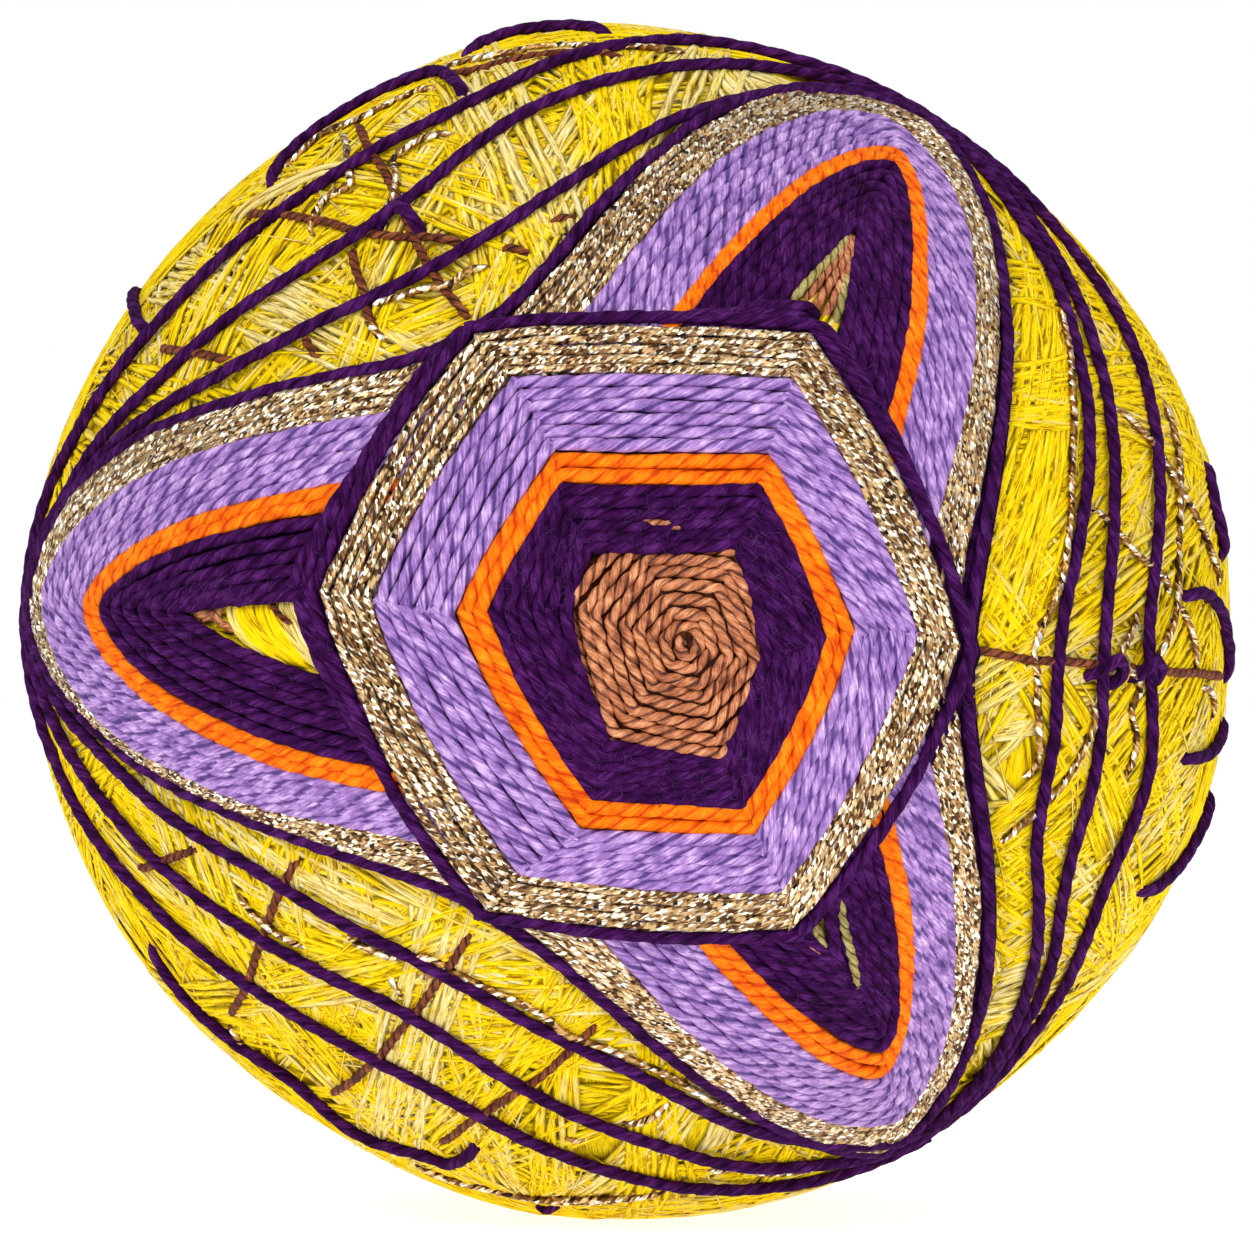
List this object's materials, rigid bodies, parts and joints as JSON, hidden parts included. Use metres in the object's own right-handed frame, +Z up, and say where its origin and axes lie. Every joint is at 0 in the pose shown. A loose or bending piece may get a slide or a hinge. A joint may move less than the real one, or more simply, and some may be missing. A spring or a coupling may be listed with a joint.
{
  "type": "temari ball",
  "caption": "Thread-wound temari ball with a hexagon over pointed petals in stitched bands of coloured thread, standing on a small flat spot.",
  "frame": {"origin": "centre of the small flat spot that the ball rests on, at the bottom of its box", "axes": "+Z up, -Y towards the viewer out of the front pattern, +X to the right as the front is seen"},
  "size_m": [0.0818, 0.083, 0.0808],
  "materials": {
    "yellow_wound_yarn": "fine fuzzy yarn wound at random",
    "dark_purple_cotton": "twisted cotton thread",
    "orange_cotton": "twisted cotton thread",
    "lavender_cotton": "twisted cotton thread",
    "terracotta_cotton": "twisted cotton thread",
    "gold_metallic_braid": "braided metallic thread with glitter"
  },
  "bodies": {
    "root": {"wound_ball": "yellow_wound_yarn", "front_centre_coil": "terracotta_cotton", "front_hexagon_dark_purple": "dark_purple_cotton", "front_hexagon_orange": "orange_cotton", "front_hexagon_lavender": "lavender_cotton", "front_hexagon_gold": "gold_metallic_braid", "front_hexagon_edge": "dark_purple_cotton", "front_petal_left_dark_purple": "dark_purple_cotton", "front_petal_left_orange": "orange_cotton", "front_petal_left_lavender": "lavender_cotton", "front_petal_left_gold": "gold_metallic_braid", "front_petal_left_edge": "dark_purple_cotton", "front_petal_upper_dark_purple": "dark_purple_cotton", "front_petal_upper_orange": "orange_cotton", "front_petal_upper_lavender": "lavender_cotton", "front_petal_upper_gold": "gold_metallic_braid", "front_petal_upper_edge": "dark_purple_cotton", "front_petal_lower_dark_purple": "dark_purple_cotton", "front_petal_lower_orange": "orange_cotton", "front_petal_lower_lavender": "lavender_cotton", "front_petal_lower_gold": "gold_metallic_braid", "front_petal_lower_edge": "dark_purple_cotton", "front_arc_right_1": "dark_purple_cotton", "front_arc_right_2": "dark_purple_cotton", "front_arc_right_3": "dark_purple_cotton", "front_arc_upper_1": "dark_purple_cotton", "front_arc_upper_2": "dark_purple_cotton", "front_arc_upper_3": "dark_purple_cotton", "front_arc_lower_1": "dark_purple_cotton", "front_arc_lower_2": "dark_purple_cotton", "front_arc_lower_3": "dark_purple_cotton", "back_centre_coil": "terracotta_cotton", "back_hexagon_dark_purple": "dark_purple_cotton", "back_hexagon_orange": "orange_cotton", "back_hexagon_lavender": "lavender_cotton", "back_hexagon_gold": "gold_metallic_braid", "back_hexagon_edge": "dark_purple_cotton", "back_petal_right_dark_purple": "dark_purple_cotton", "back_petal_right_orange": "orange_cotton", "back_petal_right_lavender": "lavender_cotton", "back_petal_right_gold": "gold_metallic_braid", "back_petal_right_edge": "dark_purple_cotton", "back_petal_upper_dark_purple": "dark_purple_cotton", "back_petal_upper_orange": "orange_cotton", "back_petal_upper_lavender": "lavender_cotton", "back_petal_upper_gold": "gold_metallic_braid", "back_petal_upper_edge": "dark_purple_cotton", "back_petal_lower_dark_purple": "dark_purple_cotton", "back_petal_lower_orange": "orange_cotton", "back_petal_lower_lavender": "lavender_cotton", "back_petal_lower_gold": "gold_metallic_braid", "back_petal_lower_edge": "dark_purple_cotton", "back_arc_right_1": "dark_purple_cotton", "back_arc_upper_1": "dark_purple_cotton", "back_arc_lower_1": "dark_purple_cotton"}
  },
  "joints": []
}
